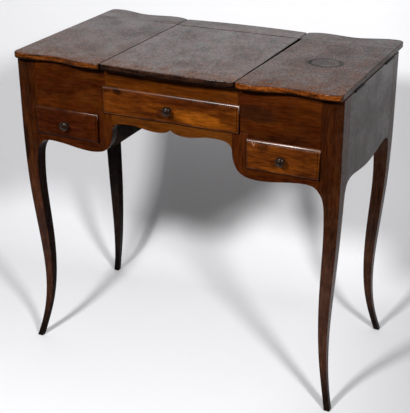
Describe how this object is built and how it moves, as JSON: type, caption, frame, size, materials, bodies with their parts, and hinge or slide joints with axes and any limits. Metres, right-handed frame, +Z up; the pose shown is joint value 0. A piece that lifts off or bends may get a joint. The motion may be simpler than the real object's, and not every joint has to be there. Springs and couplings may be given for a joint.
{
  "type": "dressing table",
  "caption": "Poudreuse dressing table on square cabriole legs, with side flaps over wells, a mirror-lined centre flap, and lipped drawers round a kneehole.",
  "frame": {"origin": "on the floor under the middle of the bounding box", "axes": "+X to the right seen from the front, -Y towards the sitter, +Z up"},
  "size_m": [0.77, 0.4551, 0.7348],
  "materials": {
    "faded_top_wood": "old worn polish on faded walnut",
    "side_wood": "satin polish on walnut",
    "polished_front_wood": "polished walnut, red-brown",
    "figured_drawer_wood": "polished figured walnut",
    "dark_leg_wood": "polished dark walnut",
    "plain_inside_wood": "unpolished oak, dry",
    "ebonised_knob": "blackened turned hardwood, glossy",
    "hinge_iron": "blackened wrought iron",
    "screw_steel": "dull old steel",
    "mirror": "silvered glass"
  },
  "bodies": {
    "carcase": {"apron": "polished_front_wood", "back_board": "plain_inside_wood", "bottom_rail_left": "polished_front_wood", "bottom_rail_right": "polished_front_wood", "box_bottom_left": "plain_inside_wood", "box_bottom_right": "plain_inside_wood", "carcase_hinge_screws": "screw_steel", "centre_drawer_runners": "plain_inside_wood", "compartment_floor": "plain_inside_wood", "front_leg_left": "dark_leg_wood", "front_leg_right": "dark_leg_wood", "front_panel_left": "polished_front_wood", "front_panel_right": "polished_front_wood", "hinge_pins": "hinge_iron", "kneehole_stile_left": "polished_front_wood", "kneehole_stile_right": "polished_front_wood", "partition_left": "plain_inside_wood", "partition_right": "plain_inside_wood", "rear_leg_left": "dark_leg_wood", "rear_leg_right": "dark_leg_wood", "rear_strip_centre": "faded_top_wood", "rear_strip_hinge_leaves": "hinge_iron", "rear_strip_left": "faded_top_wood", "rear_strip_right": "faded_top_wood", "side_drawer_guides": "plain_inside_wood", "side_panel_hinge_leaves_left": "hinge_iron", "side_panel_hinge_leaves_right": "hinge_iron", "side_panel_left": "side_wood", "side_panel_right": "side_wood", "top_rail": "polished_front_wood", "well_floor_left": "plain_inside_wood", "well_floor_right": "plain_inside_wood"},
    "right_flap": {"side_flap_right": "faded_top_wood", "side_flap_hinge_leaves_right": "hinge_iron", "side_flap_screws_right": "screw_steel"},
    "left_flap": {"side_flap_left": "faded_top_wood", "side_flap_hinge_leaves_left": "hinge_iron", "side_flap_screws_left": "screw_steel"},
    "mirror_flap": {"centre_flap": "faded_top_wood", "centre_flap_hinge_leaves": "hinge_iron", "centre_flap_screws": "screw_steel", "mirror_glass": "mirror", "mirror_beading": "polished_front_wood"},
    "centre_drawer": {"centre_drawer_front": "figured_drawer_wood", "centre_drawer_sides": "plain_inside_wood", "centre_drawer_back": "plain_inside_wood", "centre_drawer_bottom": "plain_inside_wood", "centre_drawer_knob": "ebonised_knob"},
    "right_drawer": {"right_drawer_front": "figured_drawer_wood", "right_drawer_sides": "plain_inside_wood", "right_drawer_back": "plain_inside_wood", "right_drawer_bottom": "plain_inside_wood", "right_drawer_knob": "ebonised_knob"},
    "left_drawer": {"left_drawer_front": "figured_drawer_wood", "left_drawer_sides": "plain_inside_wood", "left_drawer_back": "plain_inside_wood", "left_drawer_bottom": "plain_inside_wood", "left_drawer_knob": "ebonised_knob"}
  },
  "joints": [
    {"name": "right_flap_hinge", "type": "hinge", "parent": "carcase", "child": "right_flap", "pos_m": [0.3808, -0.00775, 0.71955], "axis": [0, 1, 0], "range_deg": [0, 180]},
    {"name": "left_flap_hinge", "type": "hinge", "parent": "carcase", "child": "left_flap", "pos_m": [-0.3808, -0.00775, 0.71955], "axis": [0, -1, 0], "range_deg": [0, 180]},
    {"name": "mirror_flap_hinge", "type": "hinge", "parent": "carcase", "child": "mirror_flap", "pos_m": [0, 0.14485, 0.7328], "axis": [-1, 0, 0], "range_deg": [0, 100]},
    {"name": "centre_drawer_slide", "type": "slide", "parent": "carcase", "child": "centre_drawer", "axis": [0, -1, 0], "range_m": [0, 0.26]},
    {"name": "right_drawer_slide", "type": "slide", "parent": "carcase", "child": "right_drawer", "axis": [0, -1, 0], "range_m": [0, 0.26]},
    {"name": "left_drawer_slide", "type": "slide", "parent": "carcase", "child": "left_drawer", "axis": [0, -1, 0], "range_m": [0, 0.26]}
  ]
}
